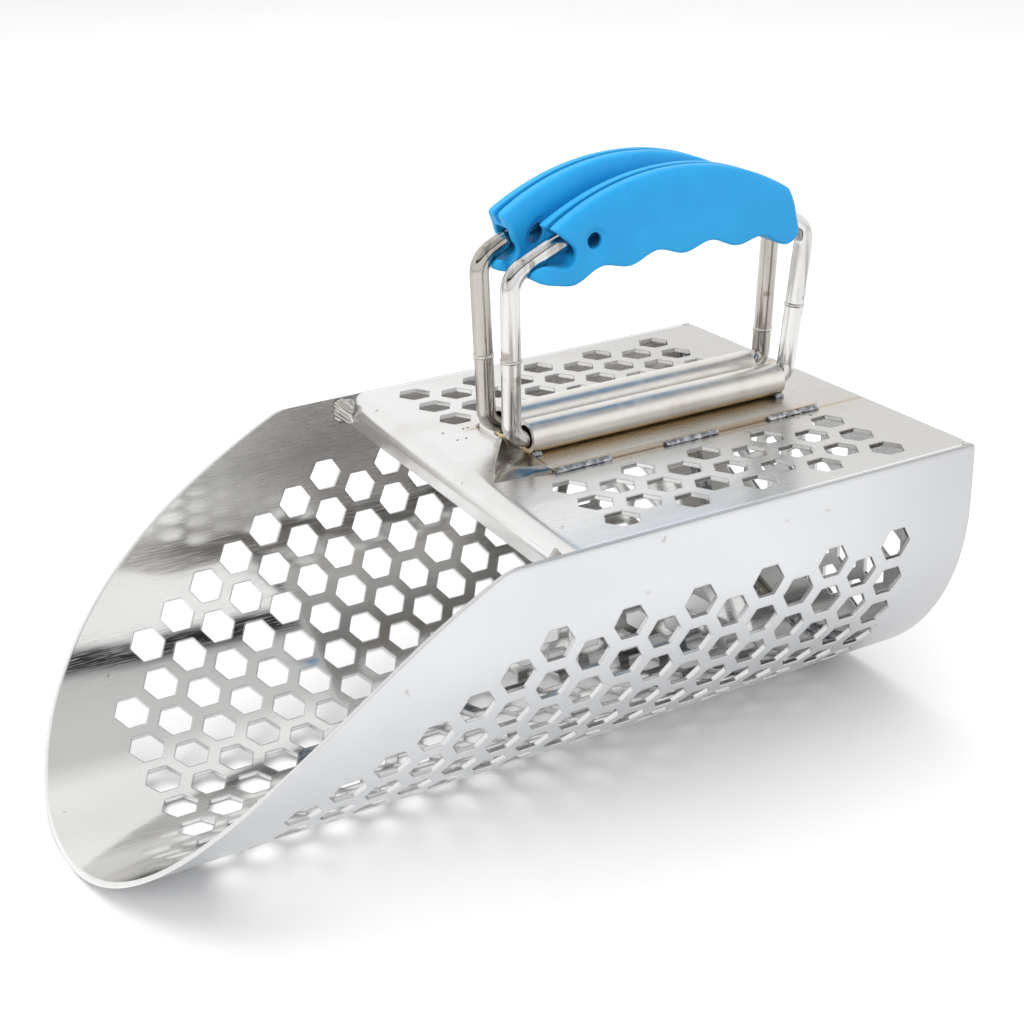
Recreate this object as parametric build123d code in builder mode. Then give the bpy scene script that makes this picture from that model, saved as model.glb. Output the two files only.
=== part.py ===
"""Beach sand scoop: a rolled, perforated stainless trough with a flat cover and two folding bails."""

from build123d import *
from math import cos, degrees, radians, sin, sqrt, tan
import os

os.makedirs("parts", exist_ok=True)

# Frame: +Z up and the mouth toward -X. The origin is under the middle of the scoop,
# on the surface that it stands on. Lengths along X are given forward from the rear face.

# Sheet metal
LENGTH = 274.0
SHEET = 1.5
OUTER_RADIUS = 75.5
INNER_RADIUS = OUTER_RADIUS - SHEET
WALL_HEIGHT = 18.8
COVER_TOP = OUTER_RADIUS + WALL_HEIGHT
COVER_UNDERSIDE = COVER_TOP - SHEET
WALL_EDGE_ROUND = 1.2
SEAM_GAP = 0.05

# Perforation: hexagons with a corner toward the mouth, on a staggered grid
PITCH = 14.0
HEX_FLATS = 10.0
HEX_RADIUS = HEX_FLATS / sqrt(3)
COLUMN_STEP = PITCH * sqrt(3) / 2
ROW_PITCH = 13.9
ROW_ANGLE = degrees(ROW_PITCH / OUTER_RADIUS)
BOTTOM_ROW = 8
FIRST_COLUMN = 29.5
FULL_COLUMNS = 11
ALL_COLUMNS = 18
PUNCH_DEPTH = 5.0

# Mouth, seen from the side: one arc from the wall's top edge to the tip
MOUTH_TOP = 165.0
MOUTH_BULGE = 10.0
MOUTH_CORNER = 16.0

# Cover
COVER_FRONT = 144.2
COVER_SKEW = 2.6
FLANGE_DROP = 10.0
FLANGE_BEND = 6.0
FLANGE_JOIN = 16.0
COVER_HALF_WIDTH = INNER_RADIUS - SEAM_GAP
COVER_CLIP = 4.0
COVER_FIRST_COLUMN = 24.1
COVER_COLUMNS = 9
COVER_FIRST_ROW = 34.6
REAR_ROWS = 7
REAR_BORDER = 8.0

# Saddle plate and hinge tubes
SADDLE_FRONT = 120.0
SADDLE_REAR = 17.5
SADDLE_HALF_WIDTH = 23.0
SADDLE_TOP = COVER_TOP + SHEET
TUBE_OUTER = 10.4
TUBE_BORE = 7.4
TUBE_FRONT = 119.8
TUBE_REAR = 24.2
TUBE_OFFSET = 7.7
HAIRLINE = 0.05
TUBE_AXIS_Z = SADDLE_TOP + TUBE_OUTER / 2 + HAIRLINE

# Bails: a lower rod that turns in the tube, butt-welded in the legs to an arched upper rod.
# They were bent by hand, so they differ a little. A leg's place is where it crosses the tube's
# axis, a positive lean opens toward the rear, and splices and shoulders are heights above the axis.
ROD = 6.0
LOWER_BEND = 5.2
UPPER_BEND = 7.5
ARCH_RISE_ANGLE = 27.8
ARCH_FALL_ANGLE = 29.2
BUTT_GAP = 1.2
BUTT_RADIUS = 3.15
BUTT_BEAD = 0.12
BAILS = {
    "left": {
        "across": -TUBE_OFFSET,
        "front_leg": 124.8,
        "front_lean": 1.0,
        "front_splice": 25.2,
        "front_shoulder": 46.3,
        "rear_leg": 20.6,
        "rear_lean": 7.4,
        "rear_splice": 24.1,
        "grip_shift": 0.0,
        "grip_lift": 0.0,
    },
    "right": {
        "across": TUBE_OFFSET,
        "front_leg": 124.5,
        "front_lean": -1.3,
        "front_splice": 23.0,
        "front_shoulder": 48.3,
        "rear_leg": 18.8,
        "rear_lean": 3.4,
        "rear_splice": 12.0,
        "grip_shift": 8.5,
        "grip_lift": 2.6,
    },
}

# Grips, drawn on the left bail: a sleeve with finger grooves below and a slot along the top
GRIP_WIDTH = 11.6
GRIP_EDGE = 0.8
CAVITY_WIDTH = 7.0
CAVITY_ABOVE_ROD = 5.2
ROD_PLAY = 0.15
SLOT_WIDTH = 1.8
GRIP_FRONT_TIP = (111.2, 164.8)
GRIP_CROWN = (67.0, 177.5)
GRIP_REAR_TIP = (24.6, 165.2)
GRIP_REAR_END = ((22.9, 160.0), (21.8, 154.6), (21.3, 150.6))
GRIP_NOSE = (
    (111.6, 148.4),
    (116.2, 149.6),
    (118.8, 152.0),
    (116.4, 154.2),
    (110.6, 153.8),
    (105.8, 153.9),
    (104.2, 156.6),
    (106.8, 160.8),
)
GRIP_FLOOR = ((121.0, 150.6), (67.0, 160.5), (12.0, 151.0))
BUMP_COUNT = 5
BUMP_PITCH = 20.0
FIRST_BUMP = 25.0
BUMP_CREST = 151.0
BUMP_END_DROP = 3.5
GROOVE_DEPTH = 2.6
CORD_HOLE = (97.6, 159.9)
CORD_HOLE_RADIUS = 2.45
CORD_RING_RADIUS = 3.9
CORD_RING_DEPTH = 0.6

# Welds
STITCH_COUNT = 3
STITCH_LENGTH = 20.0
STITCH_PITCH = 40.0
STITCH_END_GAP = 1.0
STITCH_RADIUS = 1.4
SEAM_BEAD = 2.0
TUBE_WELD_LENGTH = 3.0
TUBE_WELD_RADIUS = 1.1
TUBE_WELD_REACH = 3.6
TACK_HEIGHT = 7.0
TACK_SIZE = 5.0
TACK_DEPTH = 1.0
CORNER_WELD_HEIGHT = 1.6
CORNER_WELD_ROUND = 3.0
CORNER_WELD_CHAMFER = 1.3
CORNER_WELD_OUTLINE = ((120.1, 11.0), (120.1, -23.0), (140.5, -21.0))


def forward(distance):
    """X of a point this far in front of the rear face."""
    return LENGTH / 2 - distance


def save(builder, label):
    """Labels a finished piece and writes it to its own file."""
    builder.part.label = label
    export_step(builder.part, f"parts/{label}.step")


def draw_u(radius, top, mode=Mode.ADD):
    """Face of a U: a half circle of this radius under vertical walls that end at height top."""
    with BuildLine() as outline:
        Line((-radius, top), (-radius, OUTER_RADIUS))
        ThreePointArc((-radius, OUTER_RADIUS), (0, OUTER_RADIUS - radius), (radius, OUTER_RADIUS))
        Line((radius, OUTER_RADIUS), (radius, top))
        Line((radius, top), (-radius, top))
    make_face(outline.edges(), mode=mode)


# ---------------------------------------------------------------- trough shell


def trough_row_starts(column):
    """How many rows below the first one a column of the trough starts, where the mouth cuts it."""
    if column < FULL_COLUMNS:
        return 0
    last_column_extra = 1 if column == ALL_COLUMNS - 1 else 0
    return (column - FULL_COLUMNS + 1) / 2 + last_column_extra


def trough_row(row):
    """X of each hole in a row of the trough. Half-numbered rows belong to the odd columns."""
    rows_from_edge = min(row, 2 * BOTTOM_ROW - row)
    return [
        forward(FIRST_COLUMN + COLUMN_STEP * column)
        for column in range(ALL_COLUMNS)
        if (column % 2 == 0) == (row == int(row)) and rows_from_edge >= trough_row_starts(column)
    ]


def mouth_middle():
    """The point halfway along the mouth's arc, seen from the side."""
    run = LENGTH - MOUTH_TOP
    chord = sqrt(run**2 + COVER_TOP**2)
    along = (forward(MOUTH_TOP) + forward(LENGTH)) / 2
    return (along - MOUTH_BULGE * COVER_TOP / chord, COVER_TOP / 2 + MOUTH_BULGE * run / chord)


with BuildPart() as trough_shell:
    with BuildSketch(Plane.YZ.offset(forward(LENGTH))):
        draw_u(OUTER_RADIUS, COVER_TOP)
        outer_top_corners = vertices().group_by(Axis.Y)[-1]
        fillet(outer_top_corners, WALL_EDGE_ROUND)
        draw_u(INNER_RADIUS, COVER_TOP, mode=Mode.SUBTRACT)
    extrude(amount=LENGTH)

    # The mouth: what is kept, seen from the side
    with BuildSketch(Plane.XZ):
        with BuildLine():
            Line((forward(0), COVER_TOP), (forward(MOUTH_TOP), COVER_TOP))
            ThreePointArc((forward(MOUTH_TOP), COVER_TOP), mouth_middle(), (forward(LENGTH), 0))
            Line((forward(LENGTH), 0), (forward(0), 0))
            Line((forward(0), 0), (forward(0), COVER_TOP))
        make_face()
        top_corner = vertices().group_by(Axis.Y)[-1].sort_by(Axis.X)[0]
        fillet(top_corner, MOUTH_CORNER)
    extrude(amount=OUTER_RADIUS, both=True, mode=Mode.INTERSECT)

    # The holes, one row at a time around the half circle
    punches = []
    for half_row in range(4 * BOTTOM_ROW + 1):
        row = half_row / 2
        angle = radians((row - BOTTOM_ROW) * ROW_ANGLE)
        outward = Vector(0, sin(angle), -cos(angle))
        middle = Vector(0, 0, OUTER_RADIUS) + outward * (OUTER_RADIUS + PUNCH_DEPTH / 4)
        with BuildSketch(Plane(origin=middle, x_dir=(1, 0, 0), z_dir=outward)):
            with Locations(*[(x, 0) for x in trough_row(row)]):
                RegularPolygon(HEX_RADIUS, 6)
        punches.append(extrude(amount=-PUNCH_DEPTH, mode=Mode.PRIVATE))
    add(punches, mode=Mode.SUBTRACT)
save(trough_shell, "trough_shell")


# ---------------------------------------------------------------- cover plate

skew = radians(COVER_SKEW)
front_edge_along = Vector(sin(skew), cos(skew), 0)
front_edge_ahead = Vector(-cos(skew), sin(skew), 0)
front_edge = Vector(forward(COVER_FRONT), 0, COVER_TOP)


def on_front_edge(y, behind=0.0):
    """X of the cover's skewed front edge at this Y, or of a line this far behind it."""
    return forward(COVER_FRONT - behind / cos(skew)) + y * tan(skew)


with BuildPart() as cover_plate:
    with BuildSketch(Plane(origin=front_edge, x_dir=front_edge_ahead, z_dir=front_edge_along)):
        with BuildLine():
            inner_bend = FLANGE_BEND - SHEET
            Line((-FLANGE_JOIN, 0), (-FLANGE_BEND, 0))
            RadiusArc((-FLANGE_BEND, 0), (0, -FLANGE_BEND), FLANGE_BEND)
            Line((0, -FLANGE_BEND), (0, -FLANGE_DROP))
            Line((0, -FLANGE_DROP), (-SHEET, -FLANGE_DROP))
            Line((-SHEET, -FLANGE_DROP), (-SHEET, -FLANGE_BEND))
            RadiusArc((-SHEET, -FLANGE_BEND), (-FLANGE_BEND, -SHEET), -inner_bend)
            Line((-FLANGE_BEND, -SHEET), (-FLANGE_JOIN, -SHEET))
            Line((-FLANGE_JOIN, -SHEET), (-FLANGE_JOIN, 0))
        make_face()
    extrude(amount=2 * OUTER_RADIUS, both=True)
    with BuildSketch(Plane.XY):
        Rectangle(LENGTH, 2 * COVER_HALF_WIDTH)
    extrude(amount=2 * COVER_TOP, mode=Mode.INTERSECT)

    with BuildSketch(Plane.XY.offset(COVER_UNDERSIDE)):
        with BuildLine():
            Polyline(
                (on_front_edge(-COVER_HALF_WIDTH, FLANGE_JOIN), -COVER_HALF_WIDTH),
                (forward(COVER_CLIP), -COVER_HALF_WIDTH),
                (forward(0), COVER_CLIP - COVER_HALF_WIDTH),
                (forward(0), COVER_HALF_WIDTH - COVER_CLIP),
                (forward(COVER_CLIP), COVER_HALF_WIDTH),
                (on_front_edge(COVER_HALF_WIDTH, FLANGE_JOIN), COVER_HALF_WIDTH),
                close=True,
            )
        make_face()
    extrude(amount=SHEET)

    with BuildSketch(Plane.XY.offset(COVER_TOP)):
        for column in range(COVER_COLUMNS):
            for row in range(3 - column % 2):
                across = COVER_FIRST_ROW + PITCH * (row + column % 2 / 2)
                with Locations(
                    (forward(COVER_FIRST_COLUMN + COLUMN_STEP * column), -across),
                    (forward(COVER_FIRST_COLUMN + COLUMN_STEP * column), across),
                ):
                    RegularPolygon(HEX_RADIUS, 6)
    extrude(amount=-SHEET, mode=Mode.SUBTRACT)
save(cover_plate, "cover_plate")


# ---------------------------------------------------------------- rear plate


def inside_rear_plate(across, height):
    """Whether a hexagon centred here stays clear of the rear plate's border."""
    reach = INNER_RADIUS - REAR_BORDER - HEX_RADIUS
    if height > OUTER_RADIUS:
        return abs(across) <= reach and height <= COVER_UNDERSIDE - REAR_BORDER - HEX_RADIUS
    return sqrt(across**2 + (height - OUTER_RADIUS) ** 2) <= reach


with BuildPart() as rear_plate:
    with BuildSketch(Plane.YZ.offset(forward(0))):
        draw_u(INNER_RADIUS - SEAM_GAP, COVER_UNDERSIDE - SEAM_GAP)
        for level in range(2 * REAR_ROWS):
            height = COVER_UNDERSIDE - REAR_BORDER - 2 * HEX_RADIUS - COLUMN_STEP * level
            for step in range(-2 * REAR_ROWS, 2 * REAR_ROWS + 1):
                across = PITCH * (step / 2)
                if (step + level) % 2 == 0 and inside_rear_plate(across, height):
                    with Locations((across, height)):
                        RegularPolygon(HEX_RADIUS, 6, rotation=30, mode=Mode.SUBTRACT)
    extrude(amount=-SHEET)
save(rear_plate, "rear_plate")


# ---------------------------------------------------------------- saddle plate and hinge tubes

with BuildPart() as saddle_plate:
    with BuildSketch(Plane.XY.offset(COVER_TOP)):
        with Locations((forward((SADDLE_FRONT + SADDLE_REAR) / 2), 0)):
            RectangleRounded(SADDLE_FRONT - SADDLE_REAR, 2 * SADDLE_HALF_WIDTH, 2 * SHEET)
    extrude(amount=SHEET)
save(saddle_plate, "saddle_plate")

for side, across in (("left", -TUBE_OFFSET), ("right", TUBE_OFFSET)):
    with BuildPart() as hinge_tube:
        with BuildSketch(Plane.YZ.offset(forward(TUBE_FRONT))):
            with Locations((across, TUBE_AXIS_Z)):
                Circle(TUBE_OUTER / 2)
                Circle(TUBE_BORE / 2, mode=Mode.SUBTRACT)
        extrude(amount=TUBE_FRONT - TUBE_REAR)
    save(hinge_tube, f"hinge_tube_{side}")


# ---------------------------------------------------------------- bails


def leg_point(leg, lean, rise):
    """Point on a bail's leg, this far above the tube's axis. A positive lean opens toward the rear."""
    return (forward(leg) + rise * tan(radians(lean)), TUBE_AXIS_Z + rise)


def turn(radius, start, end):
    """Displacement along a clockwise arc between two headings, in degrees."""
    a, b = radians(start), radians(end)
    return (radius * (sin(a) - sin(b)), radius * (cos(b) - cos(a)))


def find_arch(bail):
    """Radius and centre of the arch that ends where the rear bend meets the rear leg."""
    shoulder = leg_point(bail["front_leg"], bail["front_lean"], bail["front_shoulder"])
    front = turn(UPPER_BEND, 90 - bail["front_lean"], ARCH_RISE_ANGLE)
    arch = turn(1, ARCH_RISE_ANGLE, -ARCH_FALL_ANGLE)
    rear = turn(UPPER_BEND, -ARCH_FALL_ANGLE, -90 - bail["rear_lean"])
    slope = tan(radians(bail["rear_lean"]))
    x = shoulder[0] + front[0] + rear[0]
    z = shoulder[1] + front[1] + rear[1]
    leg_x = forward(bail["rear_leg"]) + (z - TUBE_AXIS_Z) * slope
    radius = (leg_x - x) / (arch[0] - arch[1] * slope)
    centre_x = shoulder[0] + front[0] + radius * sin(radians(ARCH_RISE_ANGLE))
    centre_z = shoulder[1] + front[1] - radius * cos(radians(ARCH_RISE_ANGLE))
    return radius, (centre_x, centre_z)


def sweep_round(path, radius, mode=Mode.ADD):
    """Sweeps a circle along a path, in the part being built."""
    with BuildSketch(Plane(origin=path @ 0, z_dir=path % 0)) as section:
        Circle(radius)
    sweep(sections=section.sketch, path=path, mode=mode)


upper_rod_paths = {}
for side, bail in BAILS.items():
    across = bail["across"]
    bail_plane = Plane.XZ.offset(-across)
    half_gap = BUTT_GAP / 2
    arch_radius, arch_centre = find_arch(bail)

    with BuildPart() as bail_lower:
        with BuildLine(bail_plane) as lower_path:
            FilletPolyline(
                leg_point(bail["front_leg"], bail["front_lean"], bail["front_splice"] - half_gap),
                leg_point(bail["front_leg"], bail["front_lean"], 0),
                leg_point(bail["rear_leg"], bail["rear_lean"], 0),
                leg_point(bail["rear_leg"], bail["rear_lean"], bail["rear_splice"] - half_gap),
                radius=LOWER_BEND,
            )
        sweep_round(lower_path.line, ROD / 2)
    save(bail_lower, f"bail_{side}_lower")

    with BuildPart() as bail_upper:
        with BuildLine(bail_plane) as upper_path:
            front_leg = Line(
                leg_point(bail["front_leg"], bail["front_lean"], bail["front_splice"] + half_gap),
                leg_point(bail["front_leg"], bail["front_lean"], bail["front_shoulder"]),
            )
            front_turn = ARCH_RISE_ANGLE + bail["front_lean"] - 90
            front_bend = JernArc(front_leg @ 1, front_leg % 1, UPPER_BEND, front_turn)
            arch_turn = -ARCH_RISE_ANGLE - ARCH_FALL_ANGLE
            arch = JernArc(front_bend @ 1, front_bend % 1, arch_radius, arch_turn)
            rear_turn = ARCH_FALL_ANGLE - bail["rear_lean"] - 90
            rear_bend = JernArc(arch @ 1, arch % 1, UPPER_BEND, rear_turn)
            splice = leg_point(bail["rear_leg"], bail["rear_lean"], bail["rear_splice"] + half_gap)
            Line(rear_bend @ 1, splice)
        sweep_round(upper_path.line, ROD / 2)
    upper_rod_paths[side] = upper_path.line
    save(bail_upper, f"bail_{side}_upper")

    with BuildPart() as butt_welds:
        for end in ("front", "rear"):
            lean = bail[f"{end}_lean"]
            x, z = leg_point(bail[f"{end}_leg"], lean, bail[f"{end}_splice"])
            up_the_leg = Vector(sin(radians(lean)), 0, cos(radians(lean)))
            with BuildSketch(Plane(origin=(x, across, z), z_dir=up_the_leg)):
                Circle(BUTT_RADIUS)
            extrude(amount=half_gap - HAIRLINE, both=True)
        fillet(edges(), BUTT_BEAD)
    save(butt_welds, f"bail_{side}_butt_welds")


# ---------------------------------------------------------------- grips


def grip_underside():
    """Points from the rear tip, along the finger grooves, around the nose and up the notch."""
    points = [GRIP_REAR_TIP, *GRIP_REAR_END]
    half_steps = BUMP_COUNT - 1
    for half_step in range(2 * half_steps + 1):
        sag = BUMP_END_DROP * (half_step / half_steps - 1) ** 2
        groove = GROOVE_DEPTH * (half_step % 2)
        points.append((FIRST_BUMP + BUMP_PITCH * half_step / 2, BUMP_CREST + groove - sag))
    return [*points, *GRIP_NOSE, GRIP_FRONT_TIP]


def in_grip_frame(point):
    """A point given as (distance in front of the rear face, height)."""
    return (forward(point[0]), point[1])


for side, bail in BAILS.items():
    across, shift, lift = bail["across"], bail["grip_shift"], bail["grip_lift"]
    grip_plane = Plane.XZ.shift_origin((-shift, 0, lift)).offset(-across)
    arch_radius, arch_centre = find_arch(bail)
    cavity_centre = (arch_centre[0] + shift, arch_centre[1] - lift)

    with BuildPart() as grip:
        with BuildSketch(grip_plane):
            with BuildLine():
                crown = (GRIP_FRONT_TIP, GRIP_CROWN, GRIP_REAR_TIP)
                ThreePointArc(*[in_grip_frame(p) for p in crown])
                Spline(*[in_grip_frame(p) for p in grip_underside()])
            make_face()
        extrude(amount=GRIP_WIDTH / 2, both=True)
        fillet(faces().filter_by(Axis.Y).edges(), GRIP_EDGE)

        # The cavity around the rod, open at both ends
        with BuildSketch(grip_plane):
            with Locations(cavity_centre):
                Circle(arch_radius + CAVITY_ABOVE_ROD)
            with BuildLine():
                below = [(GRIP_FLOOR[-1][0], 0), (GRIP_FLOOR[0][0], 0)]
                ThreePointArc(*[in_grip_frame(p) for p in GRIP_FLOOR])
                Polyline(*[in_grip_frame(p) for p in (GRIP_FLOOR[-1], *below, GRIP_FLOOR[0])])
            make_face(mode=Mode.SUBTRACT)
            with Locations((cavity_centre[0], cavity_centre[1] - arch_radius / 2)):
                Rectangle(3 * arch_radius, arch_radius, mode=Mode.SUBTRACT)
        extrude(amount=CAVITY_WIDTH / 2, both=True, mode=Mode.SUBTRACT)

        # The rod's way out through the tongue in front and the end wall behind
        sweep_round(upper_rod_paths[side], ROD / 2 + ROD_PLAY, mode=Mode.SUBTRACT)

        # The slot that the rod was pressed in through
        with BuildSketch(Plane.XY.offset(GRIP_FLOOR[1][1] + lift + SLOT_WIDTH)):
            with Locations((forward(GRIP_CROWN[0]) - shift, across)):
                Rectangle(LENGTH / 2, SLOT_WIDTH)
        extrude(amount=COVER_TOP, mode=Mode.SUBTRACT)

        # The cord hole with its recessed ring
        with BuildSketch(grip_plane):
            with Locations(in_grip_frame(CORD_HOLE)):
                Circle(CORD_HOLE_RADIUS)
        extrude(amount=GRIP_WIDTH, both=True, mode=Mode.SUBTRACT)
        for outward in (1, -1):
            with BuildSketch(grip_plane.offset(outward * GRIP_WIDTH / 2)):
                with Locations(in_grip_frame(CORD_HOLE)):
                    Circle(CORD_RING_RADIUS)
            extrude(amount=-outward * CORD_RING_DEPTH, mode=Mode.SUBTRACT)
    save(grip, f"grip_{side}")


# ---------------------------------------------------------------- welds

# Broken beads along the long edges of the saddle plate
for side, sign in (("left", -1), ("right", 1)):
    with BuildPart() as stitch_welds:
        for stitch in range(STITCH_COUNT):
            start = forward(SADDLE_FRONT - STITCH_END_GAP - stitch * STITCH_PITCH)
            with BuildSketch(Plane.YZ.offset(start)):
                with Locations((sign * SADDLE_HALF_WIDTH, COVER_TOP)):
                    Circle(STITCH_RADIUS)
                with Locations((0, COVER_TOP + HAIRLINE - STITCH_RADIUS)):
                    Rectangle(LENGTH, 2 * STITCH_RADIUS, mode=Mode.SUBTRACT)
                with Locations((0, COVER_TOP)):
                    Rectangle(2 * (SADDLE_HALF_WIDTH + HAIRLINE), LENGTH, mode=Mode.SUBTRACT)
            extrude(amount=STITCH_LENGTH)
    save(stitch_welds, f"saddle_stitch_welds_{side}")

# The ground-down mound in front of the saddle's left corner
with BuildPart() as corner_weld:
    with BuildSketch(Plane.XY.offset(COVER_TOP + HAIRLINE)):
        with BuildLine():
            Polyline(*[(forward(x), y) for x, y in CORNER_WELD_OUTLINE], close=True)
        make_face()
        fillet(vertices().sort_by(Axis.X)[0], CORNER_WELD_ROUND)
    extrude(amount=CORNER_WELD_HEIGHT)
    chamfer(faces().sort_by(Axis.Z)[-1].edges().sort_by(Axis.X)[:-1], CORNER_WELD_CHAMFER)
save(corner_weld, "saddle_corner_weld")

# Short fillets on both sides of each tube, at both ends
with BuildPart() as tube_end_welds:
    for start in (TUBE_FRONT, TUBE_REAR + TUBE_WELD_LENGTH):
        with BuildSketch(Plane.YZ.offset(forward(start))):
            for across in (-TUBE_OFFSET, TUBE_OFFSET):
                with Locations(
                    (across - TUBE_WELD_REACH, SADDLE_TOP + TUBE_WELD_RADIUS / 2),
                    (across + TUBE_WELD_REACH, SADDLE_TOP + TUBE_WELD_RADIUS / 2),
                ):
                    Circle(TUBE_WELD_RADIUS)
            with Locations((-TUBE_OFFSET, TUBE_AXIS_Z), (TUBE_OFFSET, TUBE_AXIS_Z)):
                Circle(TUBE_OUTER / 2 + HAIRLINE, mode=Mode.SUBTRACT)
            with Locations((0, SADDLE_TOP + HAIRLINE - TUBE_OUTER / 2)):
                Rectangle(LENGTH, TUBE_OUTER, mode=Mode.SUBTRACT)
        extrude(amount=TUBE_WELD_LENGTH)
save(tube_end_welds, "tube_end_welds")

# Beads under the cover, against the inside of each wall
for side, sign in (("left", -1), ("right", 1)):
    with BuildPart() as seam_weld:
        with BuildSketch(Plane.YZ.offset(forward(COVER_FRONT - FLANGE_JOIN))):
            with BuildLine():
                wall = sign * (INNER_RADIUS - HAIRLINE)
                under = COVER_UNDERSIDE - HAIRLINE
                below = (wall, under - SEAM_BEAD)
                inward = (wall - sign * SEAM_BEAD, under)
                Polyline((wall, under), below, inward, close=True)
            make_face()
        extrude(amount=COVER_FRONT - FLANGE_JOIN - 2 * SEAM_BEAD - SHEET)
    save(seam_weld, f"cover_seam_weld_{side}")

# The bead around the rear plate, inside the trough
with BuildPart() as rear_seam_weld:
    with BuildSketch(Plane.YZ.offset(forward(SHEET + HAIRLINE))):
        draw_u(INNER_RADIUS - HAIRLINE, COVER_UNDERSIDE - SEAM_BEAD)
        draw_u(INNER_RADIUS - SEAM_BEAD, COVER_UNDERSIDE, mode=Mode.SUBTRACT)
    extrude(amount=-SEAM_BEAD)
save(rear_seam_weld, "rear_seam_weld")

# Tacks between the ends of the cover's front flange and the walls
with BuildPart() as mouth_corner_welds:
    for sign in (-1, 1):
        wall = sign * (INNER_RADIUS - HAIRLINE)
        corner = on_front_edge(wall) - HAIRLINE
        with BuildSketch(Plane.XY.offset(COVER_TOP - TACK_DEPTH - TACK_HEIGHT)):
            with BuildLine():
                Polyline(
                    (corner, wall),
                    (corner - TACK_SIZE, wall),
                    (on_front_edge(wall - sign * TACK_SIZE) - HAIRLINE, wall - sign * TACK_SIZE),
                    close=True,
                )
            make_face()
        extrude(amount=TACK_HEIGHT)
save(mouth_corner_welds, "mouth_corner_welds")

# Fill at the clipped rear corners of the cover, ground flush
with BuildPart() as rear_corner_welds:
    with BuildSketch(Plane.XY.offset(COVER_UNDERSIDE)):
        for sign in (-1, 1):
            wall = sign * (INNER_RADIUS - HAIRLINE)
            with BuildLine():
                fill = COVER_CLIP - 2 * HAIRLINE
                ahead = (forward(fill), wall)
                inward = (forward(0), wall - sign * fill)
                Polyline((forward(0), wall), ahead, inward, close=True)
            make_face()
    extrude(amount=SHEET)
save(rear_corner_welds, "rear_corner_welds")
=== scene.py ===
"""Beach sand scoop: looks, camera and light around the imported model. Metres, mouth toward -X, +Z up."""

import math

import bmesh
import bpy
import numpy as np
from mathutils import Matrix, Vector


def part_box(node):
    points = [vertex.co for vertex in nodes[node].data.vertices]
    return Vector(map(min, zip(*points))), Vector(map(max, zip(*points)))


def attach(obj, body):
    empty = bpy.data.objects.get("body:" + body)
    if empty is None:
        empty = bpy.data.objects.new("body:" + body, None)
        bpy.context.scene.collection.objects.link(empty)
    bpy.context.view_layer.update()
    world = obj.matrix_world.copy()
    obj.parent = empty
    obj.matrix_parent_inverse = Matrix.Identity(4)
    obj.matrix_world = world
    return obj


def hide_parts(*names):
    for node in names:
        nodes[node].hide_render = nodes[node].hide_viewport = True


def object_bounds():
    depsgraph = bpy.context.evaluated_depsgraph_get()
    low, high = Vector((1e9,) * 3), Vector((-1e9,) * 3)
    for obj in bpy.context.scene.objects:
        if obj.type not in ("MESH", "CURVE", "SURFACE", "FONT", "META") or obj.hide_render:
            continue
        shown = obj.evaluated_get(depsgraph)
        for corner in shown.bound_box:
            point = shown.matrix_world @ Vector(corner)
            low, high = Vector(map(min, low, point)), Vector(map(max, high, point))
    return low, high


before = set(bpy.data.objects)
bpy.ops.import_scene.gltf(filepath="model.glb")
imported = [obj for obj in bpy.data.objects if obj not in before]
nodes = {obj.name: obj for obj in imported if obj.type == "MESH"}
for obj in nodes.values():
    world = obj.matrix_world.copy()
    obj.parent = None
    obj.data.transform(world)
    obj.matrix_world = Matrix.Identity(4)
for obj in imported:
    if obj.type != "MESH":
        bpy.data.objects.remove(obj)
cad_low, cad_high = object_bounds()
MM = 0.001

# ---------------------------------------------------------------- places, read from the frame

trough_low, trough_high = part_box("trough_shell")
cover_low, cover_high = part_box("cover_plate")
saddle_low, saddle_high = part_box("saddle_plate")
TROUGH_RADIUS = (trough_high.y - trough_low.y) / 2
TROUGH_AXIS_Z = trough_low.z + TROUGH_RADIUS

# Where the finishes change, and how far each change reaches
# Height band, waviness and rear reach of the painted shade high inside the trough
PAINTED_SHADE_LOW = 48 * MM
PAINTED_SHADE_HIGH = 66 * MM
PAINTED_SHADE_DRIFT = 60 * MM
PAINTED_SHADE_REACH = 70 * MM
REAR_SHADE_REACH = 70 * MM
# Width of the painted highlight along the cover's outer seams
SEAM_HIGHLIGHT_WIDTH = 1.4 * MM
HEAT_EDGE = 1.6 * MM
HEAT_HALO = 11 * MM
HEAT_START = 6 * MM
TUBE_HEAT_FULL = 0.6 * MM
TUBE_HEAT_END = 4 * MM
BUTT_WELD_REACH = 14 * MM
ROD_CHANGE = 2 * MM


# ---------------------------------------------------------------- building materials from nodes


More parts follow.
